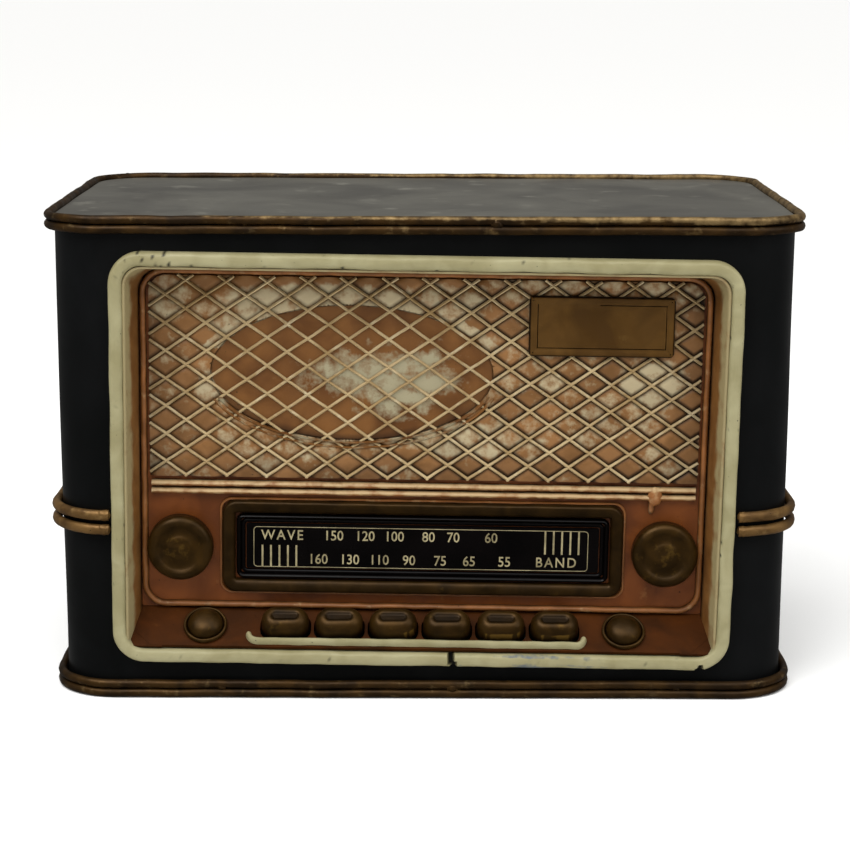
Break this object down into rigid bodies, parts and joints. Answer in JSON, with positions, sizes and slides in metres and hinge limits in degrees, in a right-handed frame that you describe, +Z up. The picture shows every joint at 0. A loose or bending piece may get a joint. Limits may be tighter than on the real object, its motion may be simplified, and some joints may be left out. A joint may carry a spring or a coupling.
{
  "type": "radio-shaped wind-up music box",
  "caption": "Wind-up music box in a tin case shaped like a mid-century table radio, with turning knobs, press keys, a winding key and a pinned-cylinder movement.",
  "frame": {"origin": "centre of the case's underside, on the surface it stands on", "axes": "+X to the right seen from the front, +Y to the back, +Z up; the front faces -Y"},
  "size_m": [0.2604, 0.1747, 0.1682],
  "materials": {
    "black_tin": "satin black paint on tinplate",
    "lid_tin": "rubbed grey-black paint on tinplate",
    "bronze_wire": "dark bronze paint on wire",
    "cream_paint": "brushed cream paint",
    "copper_paint": "rubbed copper paint",
    "ochre_paint": "ochre paint rubbed through to cream",
    "umber_gold": "dark antique gold paint",
    "gloss_black": "gloss black paint",
    "brass": "machined",
    "steel": "plain"
  },
  "bodies": {
    "case": {"case_shell": "black_tin", "lid_panel": "lid_tin", "base_panel": "black_tin", "back_panel": "black_tin", "back_screw_1": "steel", "back_screw_2": "steel", "back_screw_3": "steel", "back_screw_4": "steel", "lid_wire_upper": "bronze_wire", "lid_wire_lower": "bronze_wire", "waist_wire_upper": "bronze_wire", "waist_wire_lower": "bronze_wire", "base_wire_upper": "bronze_wire", "base_wire_lower": "bronze_wire", "front_bezel": "cream_paint", "surround": "copper_paint", "fascia_panel": "copper_paint", "fascia_bead": "copper_paint", "grille_panel": "ochre_paint", "speaker_oval": "ochre_paint", "blank_plate": "umber_gold", "rail_upper": "copper_paint", "rail_lower": "copper_paint", "dial_bezel": "umber_gold", "dial_frame": "gloss_black", "dial_card": "gloss_black", "key_ledge": "copper_paint", "key_lip": "cream_paint", "left_button_collar": "umber_gold", "right_button_collar": "umber_gold", "key_guide": "steel", "key_springs": "steel", "movement_frame": "brass", "comb": "steel", "comb_screw_1": "steel", "comb_screw_2": "steel"},
    "left_knob": {"left_knob": "umber_gold", "left_knob_shaft": "steel"},
    "right_knob": {"right_knob": "umber_gold", "right_knob_shaft": "steel"},
    "key_1": {"key_1": "umber_gold"},
    "key_2": {"key_2": "umber_gold"},
    "key_3": {"key_3": "umber_gold"},
    "key_4": {"key_4": "umber_gold"},
    "key_5": {"key_5": "umber_gold"},
    "key_6": {"key_6": "umber_gold"},
    "left_button": {"left_button": "umber_gold"},
    "right_button": {"right_button": "umber_gold"},
    "winding": {"winding_arbor": "steel", "winding_key": "brass"},
    "cylinder": {"music_cylinder": "brass", "cylinder_axle": "steel", "cylinder_wheel": "brass"},
    "barrel": {"barrel": "brass", "mainspring": "steel"},
    "second": {"second_axle": "steel", "second_wheel": "brass"},
    "fly": {"fly_axle": "steel", "fly_vanes": "brass"},
    "stop_lever": {"stop_lever": "steel"}
  },
  "joints": [
    {"name": "left_knob_turn", "type": "hinge", "parent": "case", "child": "left_knob", "pos_m": [-0.08452, -0.0615, 0.0518], "axis": [0, -1, 0], "continuous": true},
    {"name": "right_knob_turn", "type": "hinge", "parent": "case", "child": "right_knob", "pos_m": [0.08366, -0.0615, 0.0496], "axis": [0, -1, 0], "continuous": true},
    {"name": "key_1_press", "type": "slide", "parent": "case", "child": "key_1", "axis": [-0.0107, 0.5779, -0.8161], "range_m": [0, 0.0025], "stiffness_N_per_m": 300, "springref_m": -0.001, "deforming": ["key_springs"]},
    {"name": "key_2_press", "type": "slide", "parent": "case", "child": "key_2", "axis": [-0.0107, 0.5779, -0.8161], "range_m": [0, 0.0025], "stiffness_N_per_m": 300, "springref_m": -0.001, "deforming": ["key_springs"]},
    {"name": "key_3_press", "type": "slide", "parent": "case", "child": "key_3", "axis": [-0.0107, 0.5779, -0.8161], "range_m": [0, 0.0025], "stiffness_N_per_m": 300, "springref_m": -0.001, "deforming": ["key_springs"]},
    {"name": "key_4_press", "type": "slide", "parent": "case", "child": "key_4", "axis": [-0.0107, 0.5779, -0.8161], "range_m": [0, 0.0025], "stiffness_N_per_m": 300, "springref_m": -0.001, "deforming": ["key_springs"]},
    {"name": "key_5_press", "type": "slide", "parent": "case", "child": "key_5", "axis": [-0.0107, 0.5779, -0.8161], "range_m": [0, 0.0025], "stiffness_N_per_m": 300, "springref_m": -0.001, "deforming": ["key_springs"]},
    {"name": "key_6_press", "type": "slide", "parent": "case", "child": "key_6", "axis": [-0.0107, 0.5779, -0.8161], "range_m": [0, 0.0025], "stiffness_N_per_m": 300, "springref_m": -0.001, "deforming": ["key_springs"]},
    {"name": "left_button_press", "type": "slide", "parent": "case", "child": "left_button", "axis": [-0.0107, 0.5779, -0.8161], "range_m": [0, 0.0025], "stiffness_N_per_m": 300, "springref_m": -0.001, "deforming": ["key_springs"]},
    {"name": "right_button_press", "type": "slide", "parent": "case", "child": "right_button", "axis": [-0.0107, 0.5779, -0.8161], "range_m": [0, 0.0025], "stiffness_N_per_m": 300, "springref_m": -0.001, "deforming": ["key_springs"]},
    {"name": "key_wind", "type": "hinge", "parent": "case", "child": "winding", "pos_m": [-0.024, 0.08, 0.031], "axis": [0, -1, 0], "range_deg": [0, 1260]},
    {"name": "cylinder_turn", "type": "hinge", "parent": "case", "child": "cylinder", "pos_m": [0.0043, 0.04, 0.031], "axis": [0, 1, 0], "continuous": true},
    {"name": "barrel_turn", "type": "hinge", "parent": "case", "child": "barrel", "pos_m": [-0.024, 0.04, 0.031], "axis": [0, 1, 0], "continuous": true},
    {"name": "second_turn", "type": "hinge", "parent": "case", "child": "second", "pos_m": [0.01585, 0.04, 0.05101], "axis": [0, 1, 0], "continuous": true},
    {"name": "fly_turn", "type": "hinge", "parent": "case", "child": "fly", "pos_m": [0.02891, 0.04, 0.05576], "axis": [0, 1, 0], "continuous": true},
    {"name": "stop_lever_swing", "type": "hinge", "parent": "case", "child": "stop_lever", "pos_m": [0.03841, 0.062, 0.03376], "axis": [0, 1, 0], "range_deg": [0, 12]}
  ],
  "couplings": [
    {"joint": "barrel_turn", "follows": "cylinder_turn", "ratio": -0.33333},
    {"joint": "second_turn", "follows": "cylinder_turn", "ratio": -5},
    {"joint": "fly_turn", "follows": "cylinder_turn", "ratio": 15}
  ]
}
